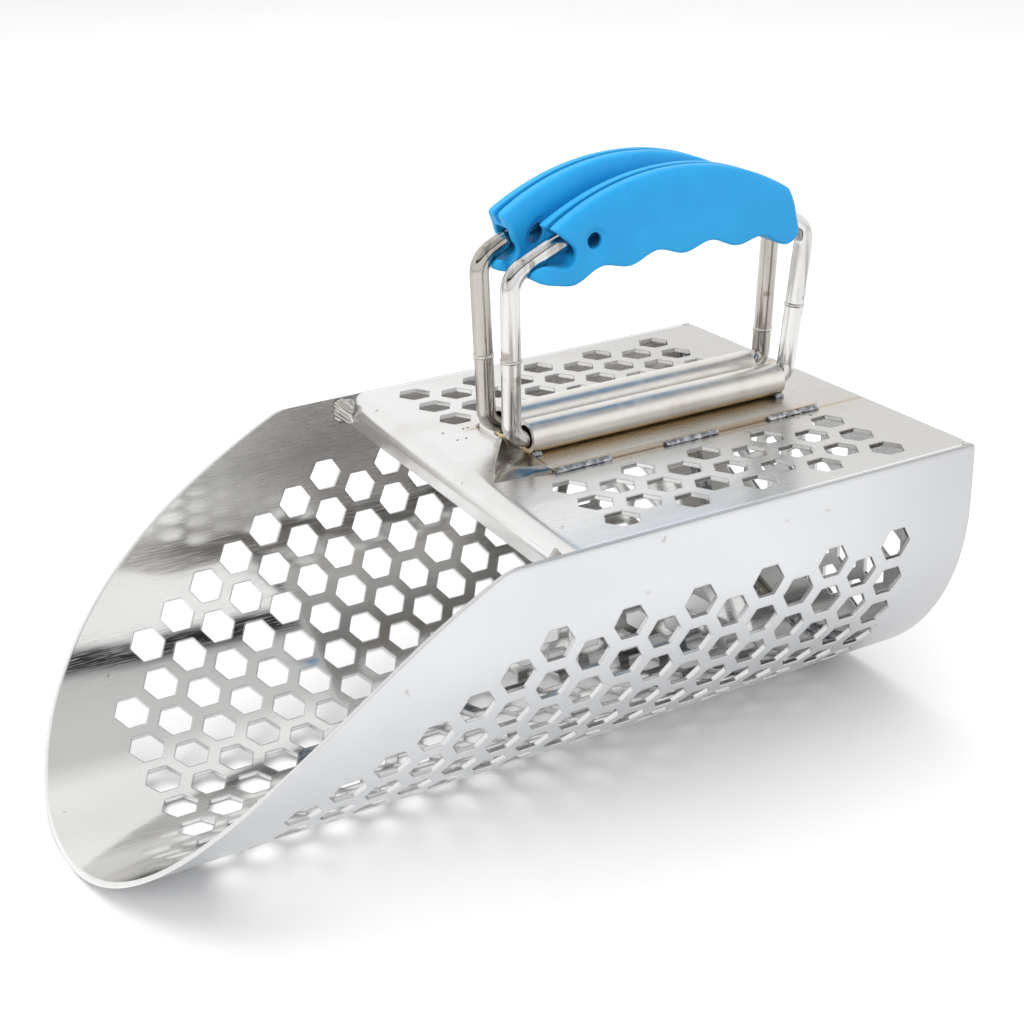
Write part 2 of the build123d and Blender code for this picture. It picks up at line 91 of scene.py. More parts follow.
class Graph:
    """A new material, whose nodes are added and linked by short calls."""

    def __init__(self, name):
        self.material = bpy.data.materials.new(name)
        self.material.use_nodes = True
        self.tree = self.material.node_tree
        self.shader = self.tree.nodes["Principled BSDF"]
        self.place = self.node("TexCoord", out="Object")

    def feed(self, socket, value):
        """Links a value to a socket if it is another socket, or else sets it."""
        if isinstance(value, bpy.types.NodeSocket):
            self.tree.links.new(value, socket)
        else:
            socket.default_value = value

    def node(self, kind, out=0, settings=(), **inputs):
        """Adds a node. Underscores in the names of its inputs stand for spaces."""
        made = self.tree.nodes.new("ShaderNode" + kind)
        for name, value in dict(settings).items():
            setattr(made, name, value)
        for name, value in inputs.items():
            self.feed(made.inputs[name.replace("_", " ")], value)
        return made.outputs[out]

    def math(self, operation, *values):
        made = self.tree.nodes.new("ShaderNodeMath")
        made.operation = operation
        for socket, value in zip(made.inputs, values):
            self.feed(socket, value)
        return made.outputs[0]

    def remap(self, value, low, high, to_low=0.0, to_high=1.0):
        """Maps low..high smoothly onto to_low..to_high."""
        return self.node(
            "MapRange",
            settings={"interpolation_type": "SMOOTHSTEP"},
            Value=value,
            From_Min=low,
            From_Max=high,
            To_Min=to_low,
            To_Max=to_high,
        )

    def mix(self, factor, first, second):
        """Mixes two colours."""
        made = self.tree.nodes.new("ShaderNodeMix")
        made.data_type = "RGBA"
        self.feed(made.inputs[0], factor)
        for socket, value in ((made.inputs[6], first), (made.inputs[7], second)):
            self.feed(socket, value if isinstance(value, bpy.types.NodeSocket) else (*value, 1))
        return made.outputs[2]

    def stretched(self, scale, turn=(0, 0, 0)):
        """Object coordinates scaled by axis, for grain and scratches."""
        return self.node("Mapping", Vector=self.place, Scale=scale, Rotation=turn)

    def noise(self, scale, detail, where=None):
        return self.node("TexNoise", Vector=where or self.place, Scale=scale, Detail=detail)

    def scratches(self, length, spacing, turn, amount):
        """Thin straight lines, 1 on a scratch and 0 beside it. A higher amount makes fewer."""
        where = self.stretched((1 / length, 1 / spacing, 1 / spacing), turn)
        return self.remap(self.noise(1.0, 1.0, where), amount, amount + 0.05)

    def bump(self, height, strength, distance, normal=None):
        made = {"Height": height, "Strength": strength, "Distance": distance}
        if normal is not None:
            made["Normal"] = normal
        return self.node("Bump", **made)

    def finish(self, **inputs):
        """Feeds the shader and returns the material."""
        for name, value in inputs.items():
            socket = self.shader.inputs[name.replace("_", " ")]
            if name.endswith("Color") and not isinstance(value, bpy.types.NodeSocket):
                value = (*value, 1)
            self.feed(socket, value)
        return self.material

    def metal(self, colour, rough, bumps):
        """Finishes a bare metal."""
        return self.finish(Base_Color=colour, Roughness=rough, Normal=bumps, Metallic=1.0)


def axes(graph, vector=None):
    """X, Y and Z of a vector, or else of the shaded point, in metres."""
    split = graph.tree.nodes.new("ShaderNodeSeparateXYZ")
    graph.feed(split.inputs[0], vector or graph.place)
    return split.outputs


def facing(graph):
    """X, Y and Z of the direction that the shaded point faces, before any bump."""
    return axes(graph, graph.node("NewGeometry", out="Normal"))


def near_line(graph, coordinate, at, reach):
    """1 where a coordinate is at a value, falling to 0 this far from it."""
    return graph.remap(graph.math("ABSOLUTE", graph.math("SUBTRACT", coordinate, at)), reach, 0.0)


def grain(graph, strength, edge):
    """Rolling grain along X over shallow waves, with rounded edges. Faces along X have no grain."""
    fine = graph.noise(1.0, 3.0, graph.stretched((30, 1500, 1500)))
    waves = graph.noise(26.0, 1.0)
    rounded = graph.node("Bevel", settings={"samples": 6}, Radius=edge)
    sideways = graph.math("SUBTRACT", 1.0, graph.math("ABSOLUTE", facing(graph)[0]))
    wavy = graph.bump(waves, 0.10, 2 * MM, rounded)
    bumps = graph.bump(fine, graph.math("MULTIPLY", sideways, strength), 0.03 * MM, wavy)
    return bumps, graph.math("MULTIPLY", sideways, fine)


def fine_scratches(graph, amount):
    """Hairlines that cross each other at four angles."""
    found = None
    for turn in ((0.1, 0.2, 0.3), (0.6, 0.9, 1.2), (1.3, -0.5, 2.0), (0.4, 1.7, -0.8)):
        lines = graph.scratches(12 * MM, 0.22 * MM, turn, amount)
        found = lines if found is None else graph.math("MAXIMUM", found, lines)
    return found


# ---------------------------------------------------------------- the materials


def trough_steel():
    """Rolled stainless: satin outside, and inside polished, scratched, and darkened high up at the rear with
    painted shade.
    """
    g = Graph("trough_steel")
    x, y, z = axes(g)
    faces_y, faces_z = facing(g)[1:]
    below_axis = g.math("MINIMUM", g.math("SUBTRACT", z, TROUGH_AXIS_Z), 0.0)
    outward = g.math("ADD", g.math("MULTIPLY", faces_y, y), g.math("MULTIPLY", faces_z, below_axis))
    inside = g.remap(outward, 20 * MM, -20 * MM)
    bumps, fine = grain(g, g.remap(inside, 0.0, 1.0, 0.26, 0.08), 0.7 * MM)
    cloudy = g.noise(28.0, 4.0)
    hairlines = fine_scratches(g, 0.64)
    long_scratches = g.scratches(50 * MM, 0.5 * MM, (0.0, 0.15, 0.1), 0.74)
    marks = g.math("MAXIMUM", g.math("MULTIPLY", hairlines, inside), long_scratches)
    spots = g.remap(g.noise(190.0, 3.0), 0.71, 0.76)
    # Painted shade: high up toward the rear, the inside is darkened to stand for the dark reflection of
    # shaded surroundings under the cover
    drift = g.math("MULTIPLY", g.math("SUBTRACT", cloudy, 0.5), PAINTED_SHADE_DRIFT)
    stains_and_painted_shade = g.remap(g.math("ADD", z, drift), PAINTED_SHADE_LOW, PAINTED_SHADE_HIGH)
    toward_rear = g.remap(x, cover_low.x - PAINTED_SHADE_REACH, cover_low.x)
    stains_and_painted_shade = g.math("MULTIPLY", g.math("MULTIPLY", stains_and_painted_shade, inside), g.math("MULTIPLY", toward_rear, 0.8))
    outer = g.mix(cloudy, (0.635, 0.645, 0.66), (0.715, 0.725, 0.74))
    outer = g.mix(g.remap(x, trough_high.x - REAR_SHADE_REACH, trough_high.x), outer, (0.555, 0.56, 0.57))
    inner = g.mix(cloudy, (0.68, 0.675, 0.665), (0.80, 0.795, 0.785))
    # The painted shade's dark colour
    inner = g.mix(stains_and_painted_shade, inner, (0.27, 0.25, 0.235))
    plain = g.mix(inside, outer, inner)
    marked = g.mix(g.math("MULTIPLY", marks, 0.35), plain, (0.80, 0.79, 0.77))
    colour = g.mix(g.math("MULTIPLY", spots, 0.40), marked, (0.30, 0.26, 0.22))
    rough_outside = g.math("ADD", 0.24, g.math("MULTIPLY", fine, 0.16))
    rough_inside = g.math("ADD", 0.035, g.math("MULTIPLY", cloudy, 0.10))
    rough_inside = g.math("ADD", rough_inside, g.math("MULTIPLY", stains_and_painted_shade, 0.16))
    rough = g.node("Mix", Factor=inside, A=rough_outside, B=rough_inside)
    rough = g.math("ADD", rough, g.math("MULTIPLY", marks, 0.16))
    return g.metal(colour, rough, bumps)


def cover_steel():
    """Satin stainless, darker to the rear, with smears, gold heat tint along the saddle's edges, and a
    painted highlight along its outer seams.
    """
    g = Graph("cover_steel")
    x, y = axes(g)[:2]
    bumps, fine = grain(g, 0.07, 0.6 * MM)
    cloudy = g.noise(14.0, 5.0)
    smears = g.remap(g.noise(1.0, 4.0, g.stretched((16, 50, 50), (0, 0, 0.5))), 0.45, 0.80)
    far_from_middle = g.math("ABSOLUTE", y)
    beside_saddle = g.remap(x, saddle_low.x - HEAT_START, saddle_low.x)
    edge = g.math("MULTIPLY", near_line(g, far_from_middle, saddle_high.y, HEAT_EDGE), beside_saddle)
    halo = g.math("MULTIPLY", near_line(g, far_from_middle, saddle_high.y, HEAT_HALO), beside_saddle)
    halo = g.math("MULTIPLY", halo, g.remap(g.noise(70.0, 3.0), 0.35, 0.7))
    toward_rear = g.remap(x, cover_low.x, cover_high.x)
    ahead = g.mix(cloudy, (0.76, 0.755, 0.75), (0.85, 0.845, 0.84))
    behind = g.mix(cloudy, (0.52, 0.51, 0.495), (0.62, 0.61, 0.595))
    plain = g.mix(toward_rear, ahead, behind)
    smeared = g.mix(g.math("MULTIPLY", smears, 0.30), plain, (0.56, 0.535, 0.50))
    warmed = g.mix(g.math("MULTIPLY", halo, 0.35), smeared, (0.58, 0.48, 0.36))
    colour = g.mix(g.math("MULTIPLY", edge, 0.55), warmed, (0.42, 0.31, 0.18))
    pits = g.remap(g.noise(230.0, 3.0), 0.72, 0.76)
    colour = g.mix(g.math("MULTIPLY", pits, 0.5), colour, (0.24, 0.21, 0.18))
    # Painted highlight: a near-white line along the outer seams stands for the light caught by the rounded
    # seam
    seam = near_line(g, far_from_middle, cover_high.y, SEAM_HIGHLIGHT_WIDTH)
    colour = g.mix(seam, colour, (0.97, 0.97, 0.97))
    hairlines = fine_scratches(g, 0.68)
    rough = g.math("ADD", 0.20, g.math("MULTIPLY", fine, 0.12))
    rough = g.math("ADD", rough, g.math("MULTIPLY", smears, 0.08))
    rough = g.math("ADD", rough, g.math("MULTIPLY", hairlines, 0.10))
    return g.metal(colour, rough, bumps)


def tube_steel():
    """Polished tube, warm, scuffed around, and with gold heat tint low down, where it is welded."""
    g = Graph("tube_steel")
    z = axes(g)[2]
    rounded = g.node("Bevel", settings={"samples": 4}, Radius=0.3 * MM)
    rings = g.noise(1.0, 3.0, g.stretched((900, 25, 25)))
    scuffs = g.remap(g.noise(1.0, 4.0, g.stretched((300, 60, 60))), 0.45, 0.75)
    stains = g.remap(g.noise(60.0, 4.0), 0.5, 0.75)
    low_down = g.remap(z, saddle_high.z + TUBE_HEAT_END, saddle_high.z + TUBE_HEAT_FULL)
    plain = g.mix(g.noise(20.0, 3.0), (0.74, 0.705, 0.655), (0.83, 0.81, 0.775))
    stains_and_painted_shade = g.mix(g.math("MULTIPLY", stains, 0.35), plain, (0.52, 0.46, 0.37))
    scuffed = g.mix(g.math("MULTIPLY", scuffs, 0.35), stains_and_painted_shade, (0.82, 0.80, 0.77))
    colour = g.mix(g.math("MULTIPLY", low_down, 0.85), scuffed, (0.76, 0.56, 0.28))
    rough = g.math("ADD", 0.26, g.math("MULTIPLY", rings, 0.12))
    rough = g.math("ADD", rough, g.math("MULTIPLY", scuffs, 0.12))
    bumps = g.bump(rings, 0.08, 0.04 * MM, rounded)
    return g.metal(colour, rough, bumps)


def rod_steel():
    """Polished round rod, painted darker on the right bail as painted shade, with painted dark reflections
    streaking along its legs, and brown at the butt welds.
    """
    g = Graph("rod_steel")
    y, z = axes(g)[1:]
    cloudy = g.noise(35.0, 3.0)
    weld_low, weld_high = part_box("bail_left_butt_welds")
    near_welds = near_line(g, z, (weld_low.z + weld_high.z) / 2, BUTT_WELD_REACH)
    marks = g.math("MULTIPLY", g.remap(g.noise(170.0, 4.0), 0.58, 0.66), near_welds)
    pits = g.remap(g.noise(300.0, 3.0), 0.70, 0.75)
    # Painted reflections: dark streaks and bands along the legs stand for dark surroundings mirrored in the
    # polished rod
    reflection_streaks = g.remap(g.noise(1.0, 3.0, g.stretched((420, 420, 14))), 0.55, 0.68)
    reflection_bands = g.remap(g.noise(1.0, 2.0, g.stretched((230, 230, 9))), 0.44, 0.60)
    near_rod = g.mix(cloudy, (0.60, 0.59, 0.58), (0.76, 0.755, 0.75))
    # Painted shade: the right bail is the same steel painted darker
    far_rod_painted_shade = g.mix(cloudy, (0.40, 0.375, 0.345), (0.58, 0.555, 0.525))
    clean = g.mix(g.remap(y, -ROD_CHANGE, ROD_CHANGE), near_rod, far_rod_painted_shade)
    # The painted dark reflections laid over the steel
    reflection_banded = g.mix(g.math("MULTIPLY", reflection_bands, 0.45), clean, (0.24, 0.22, 0.20))
    plain = g.mix(g.math("MULTIPLY", reflection_streaks, 0.65), reflection_banded, (0.20, 0.175, 0.15))
    colour = g.mix(g.math("MULTIPLY", marks, 0.7), plain, (0.20, 0.15, 0.10))
    colour = g.mix(g.math("MULTIPLY", pits, 0.5), colour, (0.22, 0.18, 0.14))
    drawn = g.noise(1.0, 2.0, g.stretched((500, 500, 25)))
    rough = g.math("ADD", 0.05, g.math("MULTIPLY", cloudy, 0.10))
    bumps = g.bump(drawn, 0.12, 0.03 * MM, g.bump(g.noise(70.0, 2.0), 0.06, 1 * MM))
    return g.metal(colour, rough, bumps)


def weld_metal():
    """Weld bead: blue-grey and rough, with gold heat tint and bright crests."""
    g = Graph("weld_metal")
    cloudy = g.noise(420.0, 4.0)
    tint = g.mix(g.remap(g.noise(110.0, 3.0), 0.50, 0.72), (0.27, 0.285, 0.31), (0.46, 0.38, 0.26))
    colour = g.mix(g.remap(cloudy, 0.44, 0.64), tint, (0.66, 0.66, 0.68))
    rough = g.math("ADD", 0.22, g.math("MULTIPLY", cloudy, 0.3))
    return g.metal(colour, rough, g.bump(cloudy, 0.6, 0.3 * MM))


def clean_weld():
    """Weld bead that was ground back and polished with the steel around it."""
    g = Graph("clean_weld")
    cloudy = g.noise(300.0, 4.0)
    colour = g.mix(cloudy, (0.42, 0.40, 0.37), (0.72, 0.70, 0.67))
    rough = g.math("ADD", 0.10, g.math("MULTIPLY", cloudy, 0.25))
    return g.metal(colour, rough, g.bump(cloudy, 0.25, 0.2 * MM))


def ground_weld():
    """The mound in front of the saddle: ground smooth, brownish, with grinding lines."""
    g = Graph("ground_weld")
    lines = g.noise(1.0, 3.0, g.stretched((160, 1400, 900), (0, 0, 0.9)))
    cloudy = g.noise(80.0, 3.0)
    colour = g.mix(g.remap(cloudy, 0.35, 0.65), (0.25, 0.225, 0.20), (0.52, 0.49, 0.45))
    rough = g.math("ADD", 0.14, g.math("MULTIPLY", lines, 0.2))
    return g.metal(colour, rough, g.bump(lines, 0.2, 0.05 * MM))


def silicone():
    """Moulded blue silicone: matte, with a faint bloom and very fine texture."""
    g = Graph("grip_silicone")
    bloom = g.remap(g.noise(45.0, 4.0), 0.35, 0.75)
    specks = g.remap(g.noise(700.0, 2.0), 0.74, 0.78)
    colour = g.mix(bloom, (0.008, 0.310, 0.665), (0.014, 0.352, 0.720))
    colour = g.mix(g.math("MULTIPLY", specks, 0.5), colour, (0.16, 0.42, 0.70))
    fine = g.noise(2600.0, 2.0)
    rough = g.math("ADD", 0.50, g.math("MULTIPLY", bloom, 0.10))
    return g.finish(
        Base_Color=colour,
        Roughness=rough,
        Normal=g.bump(fine, 0.08, 0.05 * MM),
        Sheen_Weight=0.06,
        Sheen_Roughness=0.4,
        Specular_IOR_Level=0.4,
    )


# ---------------------------------------------------------------- pieces made from CAD nodes


def add_object(name, data):
    """A new object in the scene."""
    made = bpy.data.objects.new(name, data)
    bpy.context.scene.collection.objects.link(made)
    return made


def softened(node, voxel, rounds):
    """A new mesh in the place of a CAD node: its shape remeshed finely, with every edge rounded."""
    copy = add_object(node + "_copy", nodes[node].data.copy())
    remesh = copy.modifiers.new("remesh", "REMESH")
    remesh.mode = "VOXEL"
    remesh.voxel_size = voxel
    smooth = copy.modifiers.new("smooth", "SMOOTH")
    smooth.factor = 0.5
    smooth.iterations = rounds
    bpy.context.view_layer.update()
    shaped = bpy.data.meshes.new_from_object(copy.evaluated_get(bpy.context.evaluated_depsgraph_get()))
    bpy.data.objects.remove(copy)
    shaped.shade_smooth()
    return shaped


def place(name, mesh, material, body, node):
    """Adds a finished piece that rides on a body and stands for a CAD node."""
    piece = add_object(name, mesh)
    mesh.materials.clear()
    mesh.materials.append(material)
    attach(piece, body)
    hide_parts(node)


def read_vertices(mesh, what):
    """One row of three numbers for each vertex: "co" for where it is, or "normal"."""
    values = np.empty(len(mesh.vertices) * 3)
    mesh.vertices.foreach_get(what, values)
    return values.reshape(-1, 3)


def move_vertices(mesh, points):
    """Puts the vertices at these points."""
    mesh.vertices.foreach_set("co", points.ravel())
    mesh.update()


# Radians per metre along Y, along Z and along the bead, so that no two ripples look the same
LUMP_TURNS = (900, 1300, 700)


def ripple(mesh, direction, pitch, height):
    """Pushes a bead's surface in and out along its normals, like the uneven ripples of a weld."""
    points, normals = read_vertices(mesh, "co"), read_vertices(mesh, "normal")
    along = points @ np.array(direction)
    wave = np.abs(np.sin(np.pi * along / pitch)) - 0.5
    turn_y, turn_z, turn_along = LUMP_TURNS
    lump = np.sin(along * 2.3 / pitch + points[:, 1] * turn_y)
    lump *= np.cos(points[:, 2] * turn_z + along * turn_along)
    points += normals * (height * (wave + 0.8 * lump))[:, None]
    move_vertices(mesh, points)


def crumple(mesh, swell, height, size):
    """Swells a surface along its normals and covers it with uneven lumps of about this size."""
    points, normals = read_vertices(mesh, "co"), read_vertices(mesh, "normal")
    x, y, z = (2 * np.pi / size * points).T
    lumps = np.sin(x + 0.6 * z) * np.cos(1.3 * z - 0.8 * y) + 0.6 * np.sin(2.1 * y + 1.7 * x - z)
    points += normals * (swell + height * lumps)[:, None]
    move_vertices(mesh, points)


def shape_grip(mesh, centre):
    """Draws a sleeve's walls in toward its slot, rounds its nose seen from above, and flares its mouth."""
    points = read_vertices(mesh, "co")
    x, across, z = points[:, 0], points[:, 1] - centre, points[:, 2]
    bins = np.clip(((x - x.min()) / (x.max() - x.min()) * GRIP_BINS).astype(int), 0, GRIP_BINS - 1)
    crown = np.array([z[bins == b].max() for b in range(GRIP_BINS)])
    crown = np.interp(x, np.linspace(x.min(), x.max(), GRIP_BINS), crown)
    past_nose = x > x.min() + NOSE_LENGTH
    shoulder = np.where(past_nose, np.clip(1 - (crown - z) / SHOULDER, 0, 1), 0)
    shoulder_width = 1 - SHOULDER_SHARE * (1 - np.sqrt(1 - shoulder**2))
    toward_nose = np.clip(1 - (x - x.min()) / NOSE_LENGTH, 0, 1)
    nose_width = np.sqrt(1 - NOSE_SHARE * toward_nose**2)
    mouth = np.clip(1 - (x - x.min()) / FLARE_LENGTH, 0, 1) * (1 - toward_nose)
    wall = np.maximum(np.abs(across) - SLOT_HALF, 0) * shoulder_width * nose_width + FLARE * mouth
    points[:, 1] = centre + np.sign(across) * (np.minimum(np.abs(across), SLOT_HALF) + wall)
    move_vertices(mesh, points)


def let_nose_sag(mesh):
    """Lowers a sleeve's notch and cord hole, moves them forward a little, and shortens its tongue."""
    points = read_vertices(mesh, "co")
    behind_tip = points[:, 0] - points[:, 0].min()
    height = points[:, 2] - points[:, 2].min()
    front = np.clip((NOSE_REACH - behind_tip) / NOSE_FADE, 0, 1)
    under_lip = np.clip((LIP_HEIGHT - height) / LIP_FADE, 0, 1)
    between = np.clip(height / TONGUE_HEIGHT, 0, 1) * under_lip
    sag = front * between
    pull = np.clip(1 - behind_tip / TONGUE_LENGTH, 0, 1) * under_lip
    points[:, 0] += TONGUE_PULL * pull - SAG_FORWARD * sag * np.clip(behind_tip / TONGUE_LENGTH, 0, 1)
    points[:, 2] -= SAG_DOWN * sag
    move_vertices(mesh, points)


def corner_mound(low_corner, high_corner):
    """A closed, smooth wedge of weld from the saddle's front edge down to a tip near the cover's bend."""
    base = low_corner.z - MOUND_SINK
    tip = Vector((low_corner.x, low_corner.y + MOUND_TIP_INSET, base))
    start = Vector((high_corner.x + MOUND_OVERLAP, high_corner.y, base))
    end = Vector((high_corner.x + MOUND_OVERLAP, low_corner.y, base))
    rows, columns = MOUND_GRID
    top, bottom = [], []
    for row in range(rows + 1):
        toward_tip = row / rows
        for column in range(columns + 1):
            share = column / columns
            point = start.lerp(end, share).lerp(tip, toward_tip)
            point.x -= MOUND_BULGE * math.sin(math.pi * share) * math.sin(math.pi * toward_tip)
            beside = min(share, 1 - share) * (1 - toward_tip) * (start - end).length
            rise = (1 - toward_tip) ** 0.8 * min(1.0, beside / MOUND_FLANK) ** 0.7
            lumps = math.sin(9 * share + 5 * toward_tip) * math.cos(4 * share - 7 * toward_tip)
            bottom.append(point.copy())
            point.z += MOUND_EDGE + MOUND_HEIGHT * rise * (1 + MOUND_LUMPS * lumps)
            top.append(point)
    wide, count = columns + 1, len(top)
    faces = []
    for row in range(rows):
        for column in range(columns):
            a = row * wide + column
            quad = (a, a + wide, a + wide + 1, a + 1)
            faces.append(quad)
            faces.append(tuple(i + count for i in reversed(quad)))
    rim = list(range(wide)) + [r * wide + columns for r in range(1, rows + 1)]
    rim += [rows * wide + c for c in range(columns - 1, -1, -1)] + [r * wide for r in range(rows - 1, 0, -1)]
    for a, b in zip(rim, rim[1:] + rim[:1]):
        faces.append((a, b, b + count, a + count))
    mesh = bpy.data.meshes.new("saddle_corner_mound")
    mesh.from_pydata(top + bottom, [], faces)
    mesh.shade_smooth()
    return mesh


def spatter(name, places, body):
    """Small beads of weld spatter, each a flattened and slightly uneven ball, lying on the cover."""
    shaper = bmesh.new()
    for index, (x, y, radius) in enumerate(places):
        made = bmesh.ops.create_icosphere(shaper, subdivisions=2, radius=radius)
        for vertex in made["verts"]:
            wobble = 1 + 0.25 * math.sin(7 * index + 2.5 * vertex.co.x / radius + 3 * vertex.co.y / radius)
            vertex.co = Vector((x, y, cover_high.z)) + Vector(
                (vertex.co.x * wobble * 1.3, vertex.co.y * wobble, vertex.co.z * 0.6)
            )
    mesh = bpy.data.meshes.new(name)
    shaper.to_mesh(mesh)
    shaper.free()
    mesh.shade_smooth()
    mesh.materials.append(bead)
    piece = add_object(name, mesh)
    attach(piece, body)


sheet = trough_steel()
cover = cover_steel()
rod = rod_steel()
tube = tube_steel()
bead = weld_metal()
polished_bead = clean_weld()
blue = silicone()

FINISHES = {
    "trough_shell": sheet,
    "rear_plate": sheet,
    "cover_plate": cover,
    "saddle_plate": cover,
    "hinge_tube_left": tube,
    "hinge_tube_right": tube,
    "bail_left_lower": rod,
    "bail_left_upper": rod,
    "bail_right_lower": rod,
    "bail_right_upper": rod,
}
for name, material in FINISHES.items():
    nodes[name].material_slots[0].material = material

# How finely the copies are remeshed, and how many rounds of smoothing follow
GRIP_VOXEL, GRIP_SMOOTHING = 0.4 * MM, 4
WELD_VOXEL, WELD_SMOOTHING = 0.3 * MM, 2

# The grips: their walls, nose and mouth, then the right one's notch, tongue and lip
GRIP_BINS = 60
SLOT_HALF = 0.9 * MM
SHOULDER = 8 * MM
SHOULDER_SHARE = 0.55
NOSE_LENGTH = 7 * MM
NOSE_SHARE = 0.75
FLARE_LENGTH = 20 * MM
FLARE = 0.5 * MM
NOSE_REACH = 37 * MM
NOSE_FADE = 14 * MM
TONGUE_LENGTH = 12 * MM
TONGUE_HEIGHT = 5 * MM
TONGUE_PULL = 4.3 * MM
LIP_HEIGHT = 18 * MM
LIP_FADE = 6 * MM
SAG_FORWARD = 2.7 * MM
SAG_DOWN = 2.8 * MM
for side in ("left", "right"):
    low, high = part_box(f"grip_{side}")
    sleeve = softened(f"grip_{side}", GRIP_VOXEL, GRIP_SMOOTHING)
    shape_grip(sleeve, (low.y + high.y) / 2)
    if side == "right":
        let_nose_sag(sleeve)
    place(f"grip_sleeve_{side}", sleeve, blue, f"bail_{side}", f"grip_{side}")

# The welds: body, finish, the direction that each bead runs in, ripple pitch and height
ALONG, ACROSS = Vector((1, 0, 0)), Vector((0, 1, 0))
WELDS = {
    "saddle_stitch_welds_left": ("scoop", bead, ALONG, 2.1 * MM, 0.17 * MM),
    "saddle_stitch_welds_right": ("scoop", bead, ALONG, 2.1 * MM, 0.17 * MM),
    "tube_end_welds": ("scoop", bead, ALONG, 1.5 * MM, 0.15 * MM),
    "cover_seam_weld_left": ("scoop", bead, ALONG, 1.8 * MM, 0.2 * MM),
    "cover_seam_weld_right": ("scoop", bead, ALONG, 1.8 * MM, 0.2 * MM),
    "rear_seam_weld": ("scoop", bead, ACROSS, 1.8 * MM, 0.15 * MM),
    "rear_corner_welds": ("scoop", polished_bead, ACROSS, 1.5 * MM, 0.05 * MM),
}
for node, (body, finish, direction, pitch, height) in WELDS.items():
    weld = softened(node, WELD_VOXEL, WELD_SMOOTHING)
    ripple(weld, direction, pitch, height)
    place(f"{node}_beads", weld, finish, body, node)

# Lumps of weld: body, finish, how far each swells, and the height and size of its unevenness
LUMPS = {
    "mouth_corner_welds": ("scoop", polished_bead, 0.3 * MM, 0.55 * MM, 4.6 * MM),
    "bail_left_butt_welds": ("bail_left", polished_bead, 0.15 * MM, 0.05 * MM, 2.6 * MM),
    "bail_right_butt_welds": ("bail_right", polished_bead, 0.15 * MM, 0.05 * MM, 2.6 * MM),
}
for node, (body, finish, swell, height, size) in LUMPS.items():
    lump = softened(node, WELD_VOXEL, WELD_SMOOTHING)
    crumple(lump, swell, height, size)
    place(f"{node}_lumps", lump, finish, body, node)

# The mound in front of the saddle
MOUND_GRID = (34, 60)
MOUND_HEIGHT = 2.0 * MM
MOUND_EDGE = 0.12 * MM
MOUND_SINK = 0.05 * MM
MOUND_OVERLAP = 0.6 * MM
MOUND_TIP_INSET = 3 * MM
MOUND_BULGE = 3.0 * MM
MOUND_FLANK = 4 * MM
MOUND_LUMPS = 0.22
mound = corner_mound(*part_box("saddle_corner_weld"))
place("saddle_corner_mound", mound, ground_weld(), "scoop", "saddle_corner_weld")

# Spatter: a cluster beside the right tube's mouth, and a patch at the saddle's rear left corner
CLUSTER_X, CLUSTER_Y = saddle_low.x - 2 * MM, 21 * MM
CLUSTER_REACH_X, CLUSTER_REACH_Y = 9 * MM, 4 * MM
CLUSTER_BEADS, CLUSTER_RADIUS = 9, 0.35 * MM
PATCH_X, PATCH_Y = saddle_high.x - 4 * MM, saddle_low.y - 1.5 * MM
PATCH_STEP_X, PATCH_REACH_Y = 1.7 * MM, 3 * MM
PATCH_BEADS, PATCH_RADIUS = 11, 0.4 * MM
cluster = [
    (
        CLUSTER_X + CLUSTER_REACH_X * math.sin(2.4 * i),
        CLUSTER_Y + CLUSTER_REACH_Y * math.cos(3.1 * i),
        CLUSTER_RADIUS,
    )
    for i in range(CLUSTER_BEADS)
]
patch = [
    (PATCH_X - PATCH_STEP_X * i, PATCH_Y + PATCH_REACH_Y * math.sin(2.1 * i), PATCH_RADIUS)
    for i in range(PATCH_BEADS)
]
spatter("weld_spatter", cluster + patch, "scoop")


# ---------------------------------------------------------------- floor, light and camera

FLOOR_HALF = 6.0

# The surround's levels by height: on the camera's side, where a black bar slants across, and behind
BAR_SLANT = 0.27
BAR_FROM = 0.605
BAR_TO = 0.69
FRONT_LEVELS = (
    (0.0, 0.95),
    (BAR_FROM - 0.04, 0.95),
    (BAR_FROM, 0.02),
    (BAR_TO, 0.02),
    (BAR_TO + 0.05, 0.58),
    (1.0, 0.66),
)
BACK_LEVELS = ((0.0, 1.0), (0.5, 0.93), (0.75, 0.88), (1.0, 0.94))
BACK_FROM, BACK_FULL = 0.05, 0.28
WORLD_LEVEL = 1.15

# Softboxes: where each stands, what it aims at, its two sides, and its power in watts
SOFTBOXES = {
    "overhead": ((-0.1, 0.3, 1.4), (0, 0, 0.05), (1.8, 1.8), 16),
    "front_left": ((-1.3, -0.9, 1.0), (0, 0, 0.08), (1.0, 1.0), 9),
}

CAMERA_AT = (-0.2513, -0.4621, 0.3037)
CAMERA_YAW = 0.5247
CAMERA_PITCH = 0.4068
CAMERA_ROLL = -0.0255
CAMERA_LENS = 65.26
CAMERA_NEAR = 0.01


def plain_floor():
    """A wide pale floor with a faint unevenness in its tone."""
    mesh = bpy.data.meshes.new("floor")
    corners = [(-1, -1), (1, -1), (1, 1), (-1, 1)]
    places = [Vector((x * FLOOR_HALF, y * FLOOR_HALF, cad_low.z)) for x, y in corners]
    mesh.from_pydata(places, [], [(0, 1, 2, 3)])
    floor = add_object("floor", mesh)
    g = Graph("floor_paper")
    tone = g.mix(g.noise(3.0, 2.0), (0.86, 0.86, 0.86), (0.90, 0.90, 0.90))
    mesh.materials.append(g.finish(Base_Color=tone, Roughness=0.9, Specular_IOR_Level=0.1))


